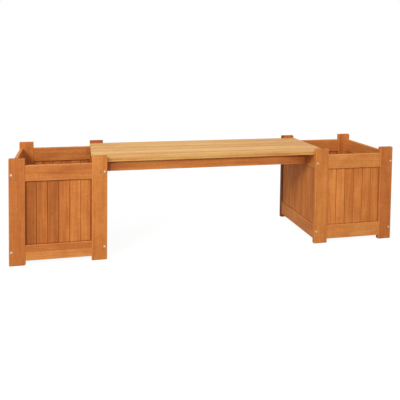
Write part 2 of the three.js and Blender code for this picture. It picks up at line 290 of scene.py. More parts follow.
def oiled_timber(name, deep, middle, pale, roughness, cad_turn=None, spread=0.30, figured=1.0,
                 clouded=1.0, sheen=0.16):
    """Planed plantation hardwood under a thin orange oil: straight figure, fine streaks, open pores.

    Boards made here carry their own grain coordinates, length first. A CAD solid is read in
    Object coordinates instead, turned by cad_turn so that its length comes first.
    """
    stuff = bpy.data.materials.new(name)
    stuff.use_nodes = True
    tree = stuff.node_tree
    tree.nodes.clear()
    if cad_turn is None:
        grain = add(tree, "ShaderNodeAttribute", attribute_name="grain").outputs["Vector"]
    else:
        here = add(tree, "ShaderNodeTexCoord").outputs["Object"]
        grain = add(tree, "ShaderNodeMapping", {"Vector": here, "Rotation": cad_turn})
    tone, wear, seam, end = [add(tree, "ShaderNodeAttribute", attribute_name=label).outputs["Fac"]
                             for label in ("tone", "wear", "seam", "end")]

    figure = drawn_noise(tree, grain, FIGURE_WAVE, 3.0, 0.55, 0.5)
    streak = drawn_noise(tree, grain, STREAK_WAVE, 4.0, 0.6)
    cloud = drawn_noise(tree, grain, CLOUD_WAVE, 2.0, 0.5, 0.4)
    # A mottle of curls, where the fibres dip and turn the light
    curls = drawn_noise(tree, grain, CURL_WAVE, 2.0, 0.5, 0.6)

    leaning = add(tree, "ShaderNodeVectorMath", {0: grain, 1: (0.0, 1.0, 1.0)}, operation="MULTIPLY")
    radius = add(tree, "ShaderNodeVectorMath", {0: leaning}, operation="LENGTH").outputs["Value"]
    along = add(tree, "ShaderNodeSeparateXYZ", {0: grain})
    taper = add(tree, "ShaderNodeMath", {0: along, 1: LOG_TAPER, 2: radius}, operation="MULTIPLY_ADD")
    wander = add(tree, "ShaderNodeMath", {0: figure, 1: RING_WANDER, 2: taper}, operation="MULTIPLY_ADD")
    ring = add(tree, "ShaderNodeMath", {0: wander, 1: RING_PITCH}, operation="DIVIDE")
    ring = add(tree, "ShaderNodeMath", {0: ring}, operation="FRACT")
    late_wood = add(tree, "ShaderNodeMapRange", {
        "Value": ring, "From Min": LATE_WOOD_FROM[0], "From Max": LATE_WOOD_FROM[1]},
        interpolation_type="SMOOTHSTEP")

    pores = drawn_noise(tree, grain, PORE_WAVE, 2.0, 0.5)
    pores = add(tree, "ShaderNodeMapRange", {
        "Value": pores, "From Min": PORE_FROM[0], "From Max": PORE_FROM[1]})
    flecks = drawn_noise(tree, grain, FLECK_WAVE, 1.0, 0.4, 0.3)
    flecks = add(tree, "ShaderNodeMapRange", {
        "Value": flecks, "From Min": FLECK_FROM[0], "From Max": FLECK_FROM[1]})

    # Where the board stands between its deep and its pale colour
    shade = add(tree, "ShaderNodeMath", {0: tone, 1: spread, 2: 0.5}, operation="MULTIPLY_ADD")
    for source, weight in ((figure, FIGURE_SHARE * figured), (streak, STREAK_SHARE * figured),
                           (cloud, CLOUD_SHARE * clouded), (curls, CURL_SHARE * clouded)):
        swing = add(tree, "ShaderNodeMath", {0: source, 1: weight, 2: -weight / 2}, operation="MULTIPLY_ADD")
        shade = add(tree, "ShaderNodeMath", {0: shade, 1: swing}, operation="ADD")
    shade = add(tree, "ShaderNodeMath", {0: late_wood, 1: -RING_SHARE, 2: shade}, operation="MULTIPLY_ADD")
    ramp = add(tree, "ShaderNodeValToRGB", {"Fac": shade})
    ramp.color_ramp.elements[0].color = tint(deep)
    ramp.color_ramp.elements[1].color = tint(pale)
    ramp.color_ramp.elements.new(0.5).color = tint(middle)

    # Oil gathers dark in the pores, in the seams and in the end grain, and painted shade darkens corners and
    # recesses; arrises are rubbed pale
    colour = ramp.outputs["Color"]
    for place, depth, code in ((pores, PORE_DARK, "#7a4a2c"), (flecks, FLECK_DARK, "#8c5232"),
                               (seam, 1.0, "#8e4e24"), (end, END_DARK, "#b98a68")):
        amount = add(tree, "ShaderNodeMath", {0: place, 1: depth}, operation="MULTIPLY")
        colour = add(tree, "ShaderNodeMix", {"Factor": amount, 6: colour, 7: tint(code)},
                     data_type="RGBA", blend_type="MULTIPLY").outputs[2]
    rubbed = add(tree, "ShaderNodeMath", {0: streak, 1: RUBBED_PALE}, operation="MULTIPLY")
    rubbed = add(tree, "ShaderNodeMath", {0: wear, 1: rubbed}, operation="MULTIPLY")
    colour = add(tree, "ShaderNodeMix", {"Factor": rubbed, 6: colour, 7: tint(pale)},
                 data_type="RGBA").outputs[2]

    gloss = add(tree, "ShaderNodeMath", {
        0: streak, 1: STREAK_GLOSS, 2: roughness - STREAK_GLOSS / 2}, operation="MULTIPLY_ADD")
    gloss = add(tree, "ShaderNodeMath", {0: end, 1: END_GLOSS, 2: gloss}, operation="MULTIPLY_ADD")
    height = add(tree, "ShaderNodeMath", {0: streak, 1: STREAK_RELIEF}, operation="MULTIPLY")
    height = add(tree, "ShaderNodeMath", {
        0: late_wood, 1: LATE_WOOD_RELIEF, 2: height}, operation="MULTIPLY_ADD")
    height = add(tree, "ShaderNodeMath", {0: pores, 1: PORE_RELIEF, 2: height}, operation="MULTIPLY_ADD")
    relief = add(tree, "ShaderNodeBump", {
        "Height": height, "Strength": RELIEF_STRENGTH, "Distance": RELIEF_DEPTH})
    skin = add(tree, "ShaderNodeBsdfPrincipled", {
        "Base Color": colour, "Roughness": gloss, "IOR": 1.47, "Specular IOR Level": sheen,
        "Normal": relief})
    add(tree, "ShaderNodeOutputMaterial", {"Surface": skin})
    return stuff


def fix(piece, slot, stuff, *nodes):
    """Finishes a piece: it stands for its CAD nodes and moves with the bench; slot is not used."""
    piece.data.materials.clear()
    piece.data.materials.append(stuff)
    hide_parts(*nodes)
    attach(piece, "root")
    return piece


# Teak oil on planed hardwood: a warm, half matt orange brown that lets the figure through
post_oil = oiled_timber("teak_oiled_hardwood_post", "#a65426", "#cb7a39", "#e39c52", 0.54,
                        figured=1.15)

# Boards were taken as they came, some redder and deeper, some paler; the rest fall in this range
COMMON_TONES = (-0.5, 0.4)
POST_TONES = {
    "left_planter_front_left": -0.45, "left_planter_front_right": 0.25,
    "right_planter_front_left": 0.05, "right_planter_front_right": -0.40,
    # The left planter's rear right post is painted far deeper than the rest: painted shadow of the plants
    # above it
    "left_planter_rear_right": -1.3, "right_planter_rear_left": -0.8,
}
# One post has painted shade on the narrow face towards the seat, deep in the recess under it
SHADED_POST = "right_planter_rear_left"
PLANTERS = ("left_planter", "right_planter")
ENDS = (("left", -1), ("right", 1))
FACES = ("front", "rear")


def edge_painted_shade(side, bound):
    """How dark a post is painted: painted shade only further out than this, on one side of its middle."""
    def soak_and_shade(along, across, through):
        return DARK_EDGE_DEPTH if side * across > bound + HAIR else 0.0
    return soak_and_shade


for planter in PLANTERS:
    for face in FACES:
        rail_low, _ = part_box(f"{planter}_{face}_bottom_rail")
        _, rail_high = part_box(f"{planter}_{face}_top_rail")
        for end, side in ENDS:
            corner = f"{planter}_{face}_{end}"
            low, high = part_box(f"{corner}_post")
            middle = (low.z + high.z) / 2
            tone = POST_TONES.get(corner, random.Random(corner).uniform(*COMMON_TONES))
            stops, soak_and_shade = (), None
            if corner == SHADED_POST:
                # The painted shade comes a little way round the arrises too
                bound = (high.x - low.x) / 2 - DARK_EDGE_REACH
                stops = (side * bound,)
                soak_and_shade = edge_painted_shade(side, bound)
            post = board(f"{corner}_post_oiled", STANDING, low, high, [POST_EASE] * 4, POST_END_EASE,
                         (-side, rail_low.z - middle, rail_high.z - middle), tone, stops, (), soak_and_shade)
            fix(post, "post_timber", post_oil, f"{corner}_post")


# Rails
# A top and a bottom rail on all four sides of each planter, the same hardwood with the grain
# along them. Front and rear rails are tenoned into the posts, side rails bolted from outside;
# the edge towards the slats is grooved to take their ends.

ON_EDGE = (0, 2, 1)
CROSSWISE = (1, 2, 0)
RAIL_EASE = 0.002
RAIL_GROOVE_HALF = 0.0043
RAIL_GROOVE_DEPTH = 0.008
# How dark the lips of the groove are painted: painted shade in the corner where the slats go in
GROOVE_LIP_DEPTH = 0.8
# The same oil on slightly paler, livelier boards
rail_oil = oiled_timber("teak_oiled_hardwood_rail", "#ac5b29", "#cc7c3c", "#e29f56", 0.54,
                        figured=1.35, clouded=1.35)


def rail_section(half_width, half_thickness, grooved_edge, stops):
    """The rail's section, width first: a groove for the slats in its upper (+1) or lower (-1) edge."""
    plain = corner_section(half_width, half_thickness, [RAIL_EASE] * 4, 0.0, stops)
    lip = grooved_edge * half_width
    floor = grooved_edge * (half_width - RAIL_GROOVE_DEPTH)
    turn = grooved_edge * RAIL_GROOVE_HALF
    # Painted shade on the lips, and the hidden floor painted dark as well
    groove = [(lip, -turn, 0.0, GROOVE_LIP_DEPTH), (floor, -turn, 0.0, 1.0),
              (floor, turn, 0.0, 1.0), (lip, turn, 0.0, GROOVE_LIP_DEPTH)]
    at = len(plain) // 2 if grooved_edge > 0 else len(plain)
    plain[at:at] = groove
    return plain


def rail(name, axes, low, high, grooved_edge, tone, stops=()):
    """A rail that fills a box; its ends stay square, because they butt against the posts."""
    centre = (low + high) / 2
    half = [(high[a] - low[a]) / 2 for a in axes]
    section = rail_section(half[1], half[2], grooved_edge, stops)
    return sweep(name, axes, centre, [(-half[0], section), (half[0], section)], None, tone)


LOG_PICKS |= {
    "left_planter_front_bottom_rail": 23, "right_planter_front_bottom_rail": 26,
    "right_planter_front_top_rail": 21, "right_planter_left_side_bottom_rail": 17,
}
RAIL_TONE_RANGE = (-0.4, 0.4)
RAIL_TONES = {
    "left_planter_front_top": -0.10, "right_planter_front_bottom": 0.30,
    "right_planter_front_top": 0.35, "right_planter_left_side_bottom": 0.1,
    "right_planter_left_side_top": 0.3,
}
# One rail was cut across the edge of the heartwood: redder above this line, paler below it
TWO_TONE_RAIL = "left_planter_front_bottom_rail"
HEART_LINE = 0.003
HEART_FADE = 0.004
HEART_TONE = -0.45
SAP_TONE = 0.45


def two_tone(along, across, through):
    """Heartwood above the line, sapwood below it."""
    return HEART_TONE if across > HEART_LINE else SAP_TONE


for planter in PLANTERS:
    for level, grooved_edge in (("bottom", 1), ("top", -1)):
        for face in FACES:
            node = f"{planter}_{face}_{level}_rail"
            low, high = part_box(node)
            low.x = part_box(f"{planter}_{face}_left_post")[1].x
            high.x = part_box(f"{planter}_{face}_right_post")[0].x
            tone = RAIL_TONES.get(f"{planter}_{face}_{level}", random.Random(node).uniform(*RAIL_TONE_RANGE))
            stops = ()
            if node == TWO_TONE_RAIL:
                stops = (HEART_LINE - HEART_FADE, HEART_LINE + HEART_FADE)
                tone = two_tone
            face_rail = rail(f"{node}_oiled", ON_EDGE, low, high, grooved_edge, tone, stops)
            fix(face_rail, "rail_timber", rail_oil, node)
        for end, _ in ENDS:
            node = f"{planter}_{end}_side_{level}_rail"
            low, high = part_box(node)
            tone = RAIL_TONES.get(f"{planter}_{end}_side_{level}",
                                  random.Random(node).uniform(*RAIL_TONE_RANGE))
            side_rail = rail(f"{node}_oiled", CROSSWISE, low, high, grooved_edge, tone)
            fix(side_rail, "rail_timber", rail_oil, node)


# Slatted panels
# Thin upright slats, tongued and grooved, with a V planed on both faces of every joint.
# They are cut from many boards, so their tone changes from slat to slat, and oil has dried
# dark at the bottom of each V.

SLAT_PITCH = 0.045
SLAT_THICKNESS = 0.008
SLAT_GAP = 0.0003
V_HALF_WIDTH = 0.0025
V_DEPTH = 0.0024
SLAT_TONGUE = (0.0040, 0.0011)
SLAT_GROOVE = (0.0043, 0.0013)
# The outer slats lose their V within this distance of the panel's edge, and what meets is welded
TRIM_MARGIN = 0.004
TRIM_WELD = 0.00002
# A panel that overhangs its opening by more than this has one slat less
SLAT_OVERHANG = 0.02
# Painted shade in the corners, this far out from the rails, and beside the posts
CORNER_REACH = 0.005
POST_CORNER_REACH = 0.004


def slat_section():
    """One slat's section: groove on its left edge, tongue on its right, Vs on both faces."""
    side = (SLAT_PITCH - SLAT_GAP) / 2
    face = SLAT_THICKNESS / 2
    arris = side - V_HALF_WIDTH
    web = face - V_DEPTH
    inner = arris - WEAR_REACH
    plain = inner - POST_CORNER_REACH
    tongue_length, tongue_half = SLAT_TONGUE
    groove_depth, groove_half = SLAT_GROOVE
    right = [(arris, -face, 1.0, 0.0), (side, -web, 0.0, 1.0), (side, -tongue_half, 0.0, 1.0),
             (side + tongue_length, -tongue_half, 0.0, 1.0), (side + tongue_length, tongue_half, 0.0, 1.0),
             (side, tongue_half, 0.0, 1.0), (side, web, 0.0, 1.0), (arris, face, 1.0, 0.0)]
    left = [(-arris, face, 1.0, 0.0), (-side, web, 0.0, 1.0), (-side, groove_half, 0.0, 1.0),
            (-side + groove_depth, groove_half, 0.0, 1.0), (-side + groove_depth, -groove_half, 0.0, 1.0),
            (-side, -groove_half, 0.0, 1.0), (-side, -web, 0.0, 1.0), (-arris, -face, 1.0, 0.0)]
    return [(plain, -face, 0.0, 0.0), (inner, -face, 0.0, 0.0), *right, (inner, face, 0.0, 0.0),
            (plain, face, 0.0, 0.0), (-plain, face, 0.0, 0.0), (-inner, face, 0.0, 0.0), *left,
            (-inner, -face, 0.0, 0.0), (-plain, -face, 0.0, 0.0)]


def sockets(tree, **kinds):
    """Names a tree's inputs and gives it its geometry output; returns each input's identifier."""
    found = {}
    for label, kind in kinds.items():
        made = tree.interface.new_socket(name=label, in_out="INPUT", socket_type=f"NodeSocket{kind}")
        found[label] = made.identifier
    tree.interface.new_socket(name="Result", in_out="OUTPUT", socket_type="NodeSocketGeometry")
    return found


slat_tree = bpy.data.node_groups.new("tongued_slats", "GeometryNodeTree")
slat_inputs = sockets(
    slat_tree, Slat="Object", Slats="Int", Pitch="Float", TrimFrom="Float", TrimTo="Float",
    RailFrom="Float", CornerWidth="Float", RailShade="Float", LeftShade="Float", RightShade="Float",
    JointShade="Float", Middle="Float", Spread="Float", Oil="Material", Seed="Int", Log="Int")
given = add(slat_tree, "NodeGroupInput").outputs

# A row of points for the slats, centred, each with its own tone and its own place in the log
pitches = add(slat_tree, "ShaderNodeMath", {0: given["Slats"], 1: 1.0}, operation="SUBTRACT")
row_length = add(slat_tree, "ShaderNodeMath", {0: pitches, 1: given["Pitch"]}, operation="MULTIPLY")
first_x = add(slat_tree, "ShaderNodeMath", {0: row_length, 1: -0.5}, operation="MULTIPLY")
start = add(slat_tree, "ShaderNodeCombineXYZ", {"X": first_x})
step = add(slat_tree, "ShaderNodeCombineXYZ", {"X": given["Pitch"]})
row = add(slat_tree, "GeometryNodeMeshLine", {
    "Count": given["Slats"], "Start Location": start, "Offset": step})
low_tone = add(slat_tree, "ShaderNodeMath", {0: given["Spread"], 1: -1.0}, operation="MULTIPLY")
slat_tone = add(slat_tree, "FunctionNodeRandomValue", {
    2: low_tone, 3: given["Spread"], "Seed": given["Seed"]}, data_type="FLOAT").outputs[1]
slat_tone = add(slat_tree, "ShaderNodeMath", {0: slat_tone, 1: given["Middle"]})
slat_shift = add(slat_tree, "FunctionNodeRandomValue", {
    0: [-reach for reach in LOG_REACH], 1: LOG_REACH, "Seed": given["Log"]}, data_type="FLOAT_VECTOR")
row = add(slat_tree, "GeometryNodeStoreNamedAttribute", {
    "Geometry": row, "Name": "pick", "Value": slat_tone}, data_type="FLOAT", domain="POINT")
row = add(slat_tree, "GeometryNodeStoreNamedAttribute", {
    "Geometry": row, "Name": "shift", "Value": slat_shift}, data_type="FLOAT_VECTOR", domain="POINT")

# The slats themselves, their grain moved to that place
one_slat = add(slat_tree, "GeometryNodeObjectInfo", {"Object": given["Slat"]}).outputs["Geometry"]
panel = add(slat_tree, "GeometryNodeInstanceOnPoints", {"Points": row, "Instance": one_slat})
panel = add(slat_tree, "GeometryNodeRealizeInstances", {"Geometry": panel})
own_grain = add(slat_tree, "GeometryNodeInputNamedAttribute", {"Name": "grain"}, data_type="FLOAT_VECTOR")
own_shift = add(slat_tree, "GeometryNodeInputNamedAttribute", {"Name": "shift"}, data_type="FLOAT_VECTOR")
moved = add(slat_tree, "ShaderNodeVectorMath", {0: own_grain, 1: own_shift}, operation="ADD")
panel = add(slat_tree, "GeometryNodeStoreNamedAttribute", {
    "Geometry": panel, "Name": "grain", "Value": moved}, data_type="FLOAT_VECTOR", domain="POINT")
own_tone = add(slat_tree, "GeometryNodeInputNamedAttribute", {"Name": "pick"}, data_type="FLOAT")
panel = add(slat_tree, "GeometryNodeStoreNamedAttribute", {
    "Geometry": panel, "Name": "tone", "Value": own_tone}, data_type="FLOAT", domain="POINT")
for spent in ("shift", "pick"):
    panel = add(slat_tree, "GeometryNodeRemoveAttribute", {"Geometry": panel, "Name": spent})

# Dried oil in the joints, less or more of it, and painted shade along the rails and beside the posts
place = add(slat_tree, "ShaderNodeSeparateXYZ", {0: add(slat_tree, "GeometryNodeInputPosition")}).outputs
half_corner = add(slat_tree, "ShaderNodeMath", {0: given["CornerWidth"], 1: 0.5}, operation="MULTIPLY")
right_from = add(slat_tree, "ShaderNodeMath", {
    0: given["TrimFrom"], 1: half_corner}, operation="SUBTRACT")
left_from = add(slat_tree, "ShaderNodeMath", {0: right_from, 1: -1.0}, operation="MULTIPLY")
height = add(slat_tree, "ShaderNodeMath", {0: place["Z"]}, operation="ABSOLUTE")
shade = add(slat_tree, "GeometryNodeInputNamedAttribute", {"Name": "seam"}, data_type="FLOAT")
shade = add(slat_tree, "ShaderNodeMath", {0: shade, 1: given["JointShade"]}, operation="MULTIPLY")
for where, limit, beyond, depth in (
    (place["X"], left_from, "LESS_THAN", "LeftShade"),
    (place["X"], right_from, "GREATER_THAN", "RightShade"),
    (height, given["RailFrom"], "GREATER_THAN", "RailShade"),
):
    there = add(slat_tree, "FunctionNodeCompare", {0: where, 1: limit}, data_type="FLOAT", operation=beyond)
    here = add(slat_tree, "ShaderNodeMath", {0: there, 1: given[depth]}, operation="MULTIPLY")
    shade = add(slat_tree, "ShaderNodeMath", {0: shade, 1: here}, operation="MAXIMUM")
panel = add(slat_tree, "GeometryNodeStoreNamedAttribute", {
    "Geometry": panel, "Name": "seam", "Value": shade}, data_type="FLOAT", domain="POINT")

# The outer slats are trimmed to the panel's width
reach = add(slat_tree, "ShaderNodeMath", {0: place["X"]}, operation="ABSOLUTE")
outer = add(slat_tree, "FunctionNodeCompare", {
    0: reach, 1: given["TrimFrom"]}, data_type="FLOAT", operation="GREATER_THAN")
side_sign = add(slat_tree, "ShaderNodeMath", {0: place["X"]}, operation="SIGN")
edge_x = add(slat_tree, "ShaderNodeMath", {0: side_sign, 1: given["TrimTo"]}, operation="MULTIPLY")
edge_place = add(slat_tree, "ShaderNodeCombineXYZ", {"X": edge_x, "Y": place["Y"], "Z": place["Z"]})
panel = add(slat_tree, "GeometryNodeSetPosition", {
    "Geometry": panel, "Selection": outer, "Position": edge_place})
panel = add(slat_tree, "GeometryNodeMergeByDistance", {"Geometry": panel, "Distance": TRIM_WELD})
panel = add(slat_tree, "GeometryNodeSetMaterial", {"Geometry": panel, "Material": given["Oil"]})
add(slat_tree, "NodeGroupOutput", {0: panel})


def grown(name, tree, values, base=None):
    """Runs a tree on an object of its own and keeps the result as a plain mesh."""
    piece = bpy.data.objects.new(name, base or bpy.data.meshes.new(name))
    scene.collection.objects.link(piece)
    maker = piece.modifiers.new("maker", "NODES")
    maker.node_group = tree
    for identifier, value in values.items():
        maker[identifier] = value
    result = piece.evaluated_get(bpy.context.evaluated_depsgraph_get())
    mesh = bpy.data.meshes.new_from_object(result)
    mesh.name = name
    piece.modifiers.clear()
    piece.data = mesh
    return piece


# The same oil again, flatter, on boards that differ more
slat_oil = oiled_timber("teak_oiled_hardwood_slat", "#a05829", "#c37136", "#e8964c", 0.52, spread=0.34,
                        figured=1.35, clouded=0.9, sheen=0.10)
panel_low, panel_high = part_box("left_planter_front_panel")
slat_height = panel_high.z - panel_low.z
slat_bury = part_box("left_planter_front_bottom_rail")[1].z - panel_low.z
rail_from = slat_height / 2 - slat_bury
slat_places = (-slat_height / 2, -rail_from, CORNER_REACH - rail_from, rail_from - CORNER_REACH, rail_from,
               slat_height / 2)
slat_sections = [(place, slat_section()) for place in slat_places]
slat = sweep("one_slat", STANDING, (0, 0, 0), slat_sections, None, 0.0, Vector((0, 0, 0)))

# The order of pale and deep slats: (the pick from the pile, its middle tone, how far the tones
# spread, the log); a panel that isn't named has its own pick and the common rest
PANEL_PICKS = {
    "left_planter_front": (5592, -0.15, 0.97, 16),
    "right_planter_front": (11617, 0.44, 0.26, 26),
    "right_planter_left_side": (1020, 0.50, 0.55, 23),
}
FIRST_PICKS = {"left_planter": 32, "right_planter": 33}
COMMON_PICK = (0.2, 0.5, 0)
# How dark each panel is painted: (painted shade along the rails, by the left post, by the right post; dried
# oil in the joints)
PANEL_CORNERS = {
    "left_planter_front": (0.85, 0.55, 0.70, 0.46),
    "right_planter_front": (0.75, 0.0, 0.55, 0.55),
    "right_planter_left_side": (0.75, 0.7, 0.5, 0.85),
}
COMMON_CORNERS = (0.7, 0.4, 0.4, 0.5)
# How far each side's panel is turned from where the front one faces
PANEL_TURNS = {"front": 0.0, "rear": math.pi, "left_side": -0.5 * math.pi, "right_side": 0.5 * math.pi}

for planter in PLANTERS:
    for number, (face, turn) in enumerate(PANEL_TURNS.items()):
        node = f"{planter}_{face}_panel"
        low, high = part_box(node)
        width = max(high.x - low.x, high.y - low.y)
        slats = round(width / SLAT_PITCH)
        if slats * SLAT_PITCH - width > SLAT_OVERHANG:
            slats -= 1
        common = (FIRST_PICKS[planter] + number, *COMMON_PICK)
        seed, middle, variety, log = PANEL_PICKS.get(f"{planter}_{face}", common)
        by_rails, by_left, by_right, in_joints = PANEL_CORNERS.get(f"{planter}_{face}", COMMON_CORNERS)
        values = {
            "Slat": slat, "Slats": slats, "Pitch": SLAT_PITCH, "TrimTo": width / 2,
            "TrimFrom": slats * SLAT_PITCH / 2 - TRIM_MARGIN, "RailFrom": rail_from - 2 * HAIR,
            "CornerWidth": POST_CORNER_REACH, "RailShade": by_rails, "LeftShade": by_left,
            "RightShade": by_right, "JointShade": in_joints, "Middle": middle, "Spread": variety,
            "Oil": slat_oil, "Seed": seed, "Log": log}
        slatted = grown(f"{node}_slats", slat_tree, {slat_inputs[key]: v for key, v in values.items()})
        slatted.data.transform(Matrix.Translation((low + high) / 2) @ Matrix.Rotation(turn, 4, "Z"))
        fix(slatted, "slat_timber", slat_oil, node)
bpy.data.objects.remove(slat)


# Seat
# Five boards laid lengthwise between the posts, closely butted, of the same hardwood but paler, partly
# in their own colour and partly a painted sheen. The outer two have their upper arris well rounded; the
# others are just eased.

SEAT_EASE = 0.001
SEAT_ROUND = 0.006
SEAT_END_EASE = 0.0015
LENGTHWISE = (0, 1, 2)
SEAT_BOARDS = 5
LOG_PICKS |= {
    "seat_board_1": 6, "seat_board_2": 18, "seat_board_3": 20, "seat_board_4": 26, "seat_board_5": 4}
SEAT_TONES = (-0.30, 0.70, 0.0, 0.30, 0.0)
# Oil has stayed along the joints: each board is deeper by this much there, and fades inwards
SEAT_JOINT_DROP = 0.65
SEAT_JOINT_REACH = (0.010, 0.024)
# Towards the right the boards come out of deeper wood: (where it starts, where it is reached)
SEAT_RIGHT_DROPS = (0.0, 0.1, 0.55, 0.2, 0.15)
SEAT_RIGHT_REACH = (0.05, 0.22)
# The front edge is deeper in tone on its rounding, partly its own deeper orange and partly painted shade
# against the light it catches, and paler below that, painted light on a face that gets less; both fade out on
# top
SEAT_EDGE_UPPER_DROP = 0.55
SEAT_EDGE_LOWER_DROP = -0.45
SEAT_EDGE_REACH = 0.006
# It has taken a little more oil too: on the rounding, on the face below, and more to the right
SEAT_EDGE_UPPER_SOAK = 0.08
SEAT_EDGE_LOWER_SOAK = 0.03
SEAT_EDGE_RIGHT_SOAK = 0.06

# The same wood, straw yellow and finely streaked: partly its own colour, partly a painted sheen on the tops
seat_oil_and_sheen = oiled_timber("thinly_oiled_hardwood_seat", "#c38144", "#d8a559", "#e8bb72", 0.50,
                        figured=2.3, clouded=0.9)


def seat_finish(number, half_length, half_width, edge_at):
    """Tells a seat board's tone, and how soaked it is, from a place on it."""
    right_from = SEAT_RIGHT_REACH[1]
    joint_from = half_width - SEAT_JOINT_REACH[0]

    def board_tone(along, across, through):
        here = SEAT_TONES[number - 1] - (SEAT_RIGHT_DROPS[number - 1] if along > right_from - HAIR else 0.0)
        # The front edge: painted shade on its rounding, painted light on the face below
        if across < edge_at - HAIR:
            return here - (SEAT_EDGE_UPPER_DROP if through > 0 else SEAT_EDGE_LOWER_DROP)
        return here - (SEAT_JOINT_DROP if abs(across) > joint_from - HAIR else 0.0)

    def board_soak(along, across, through):
        if across > edge_at - HAIR:
            return 0.0
        rightwards = max(0.0, (along - right_from) / (half_length - right_from))
        soaked = SEAT_EDGE_UPPER_SOAK if through > 0 else SEAT_EDGE_LOWER_SOAK
        return soaked + SEAT_EDGE_RIGHT_SOAK * rightwards

    return board_tone, board_soak


for number in range(1, SEAT_BOARDS + 1):
    low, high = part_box(f"seat_board_{number}")
    half_width = (high.y - low.y) / 2
    front_board = number == 1
    front = SEAT_ROUND if front_board else SEAT_EASE
    rear = SEAT_ROUND if number == SEAT_BOARDS else SEAT_EASE
    edge_at = SEAT_ROUND + WEAR_REACH + SEAT_EDGE_REACH - half_width if front_board else -half_width
    board_tone, board_soak = seat_finish(number, (high.x - low.x) / 2, half_width, edge_at)
    stops = [side * (half_width - reach) for side in (-1, 1) for reach in SEAT_JOINT_REACH
             if not front_board or side > 0]
    if front_board:
        stops.append(edge_at)
    plank = board(f"seat_board_{number}_oiled", LENGTHWISE, low, high, [SEAT_EASE, SEAT_EASE, rear, front],
                  SEAT_END_EASE, None, board_tone, stops, SEAT_RIGHT_REACH,
                  board_soak if front_board else None)
    fix(plank, "seat_timber", seat_oil_and_sheen, f"seat_board_{number}")


# Aprons and battens
# An apron on edge under each side of the seat keeps it from sagging. A batten on edge at each end
# carries the aprons and the boards' ends against the planters, and a flat one ties the boards
# together in the middle. All are redder than the seat, planed, and screwed from below.

APRON_EASE = 0.002
APRON_END_EASE = 0.0005
LOG_PICKS["front_apron"] = 14
APRON_TONE = -0.1
BATTEN_TONE = -0.4
# Painted shade on an apron, in a band under the seat's overhang: (height over its middle, how dark)
APRON_SHADE_BAND = ((0.003, 0.0), (0.009, 0.36), (0.013, 0.68))
# Painted shade towards an apron's ends, beside the planters: (how far in it starts, how dark it gets), left
# and right
APRON_END_SHADES = {-1: (0.04, 0.40), 1: (0.15, 0.60)}
# An apron's length is marked at these shares of that reach, so that the dark fades evenly
APRON_END_MARKS = (0.3, 1)
# Bare end grain drinks the oil and turns dark; the right batten's is painted darker than the left's, painted
# shade in its corner by the planter
END_GRAIN_DEPTHS = {"left": 0.45, "right": 0.75}

# Painted paler and redder than the other boards: painted light that keeps the aprons bright in the seat's
# shade
lightened_apron_oil = oiled_timber("teak_oiled_hardwood_apron", "#ca6d33", "#ee954a", "#f8ae64", 0.54, figured=1.3)


def apron_painted_shade(half_length):
    """How dark an apron is painted: painted shade, most in a band under the seat, and a little towards both
    ends.
    """
    def soak_and_shade(along, across, through):
        band_shade = max([depth for height, depth in APRON_SHADE_BAND if across > height - HAIR], default=0.0)
        reach, depth = APRON_END_SHADES[1 if along > 0 else -1]
        near_end = depth * max(0.0, (abs(along) - half_length + reach) / reach)
        return min(1.0, band_shade + near_end)
    return soak_and_shade


def end_grain_and_corner_shade(bare, depth):
    """How dark a batten is: only beyond this from its middle, where its end grain is bare; the depth holds
    painted shade as well.
    """
    def soak_and_shade(along, across, through):
        return depth if abs(along) > bare else 0.0
    return soak_and_shade


for face in FACES:
    low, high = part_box(f"{face}_apron")
    half_length = (high.x - low.x) / 2
    marks = sorted(side * (half_length - share * APRON_END_SHADES[side][0])
                   for side in APRON_END_SHADES for share in APRON_END_MARKS)
    apron = board(f"{face}_apron_oiled", ON_EDGE, low, high, [APRON_EASE] * 4, APRON_END_EASE, None,
                  APRON_TONE, [height for height, _ in APRON_SHADE_BAND], marks, apron_painted_shade(half_length))
    fix(apron, "apron_timber", lightened_apron_oil, f"{face}_apron")

for end, _ in ENDS:
    low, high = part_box(f"{end}_end_batten")
    bare = (high.y - low.y) / 2 - APRON_EASE
    batten = board(f"{end}_end_batten_oiled", CROSSWISE, low, high, [APRON_EASE] * 4, APRON_END_EASE, None,
                   BATTEN_TONE, (), (), end_grain_and_corner_shade(bare, END_GRAIN_DEPTHS[end]))
    fix(batten, "apron_timber", lightened_apron_oil, f"{end}_end_batten")

# Flat under the seat, where nobody sees it: a plain board with the least oil
batten_oil = oiled_timber("teak_oiled_hardwood_batten", "#8d4c27", "#b56a36", "#cb8145", 0.56,
                          cad_turn=(0.0, 0.0, -0.5 * math.pi))
middle_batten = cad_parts["middle_batten"]
middle_batten.data.materials.clear()
middle_batten.data.materials.append(batten_oil)


# Planter floors
# A drained floor in each planter: five sawn boards across two cleats on the side rails, with
# gaps for water between them. Sawn and thinly oiled, so flatter and rougher than the rest.

floor_oil = oiled_timber("sawn_hardwood_floor", "#8f5c33", "#b37e4c", "#c9975f", 0.68,
                         cad_turn=(0.0, 0.0, 0.0))
for planter in PLANTERS:
    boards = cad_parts[f"{planter}_floor"]
    boards.data.materials.clear()
    boards.data.materials.append(floor_oil)


# Bolts
# Zinc-plated steel bolts with a low domed head and a hexagon socket, four at the front and four at
# the rear of each planter. Each passes through a post into the end of a side rail and draws the
# corner tight.

BOLT_SIDES = 24
BOLT_HEAD_RADIUS = 0.0055
BOLT_HEAD_HEIGHT = 0.0024
BOLT_RIM = 0.0009
BOLT_SHANK_RADIUS = 0.003
BOLT_SOCKET_RADIUS = 0.0023
BOLT_SOCKET_DEPTH = 0.0016
# The tapered tip of the shank, and the tiny break of the head's and the socket's edges
BOLT_TIP = 0.0025
BOLT_BREAK = 0.0002
# How far the dome stops outside the socket, and how much the socket's mouth is flared
DOME_STOP = 1.12
SOCKET_FLARE = 1.04
DOME_RINGS = 4
BOLT_SHARP_ANGLE = math.radians(40)
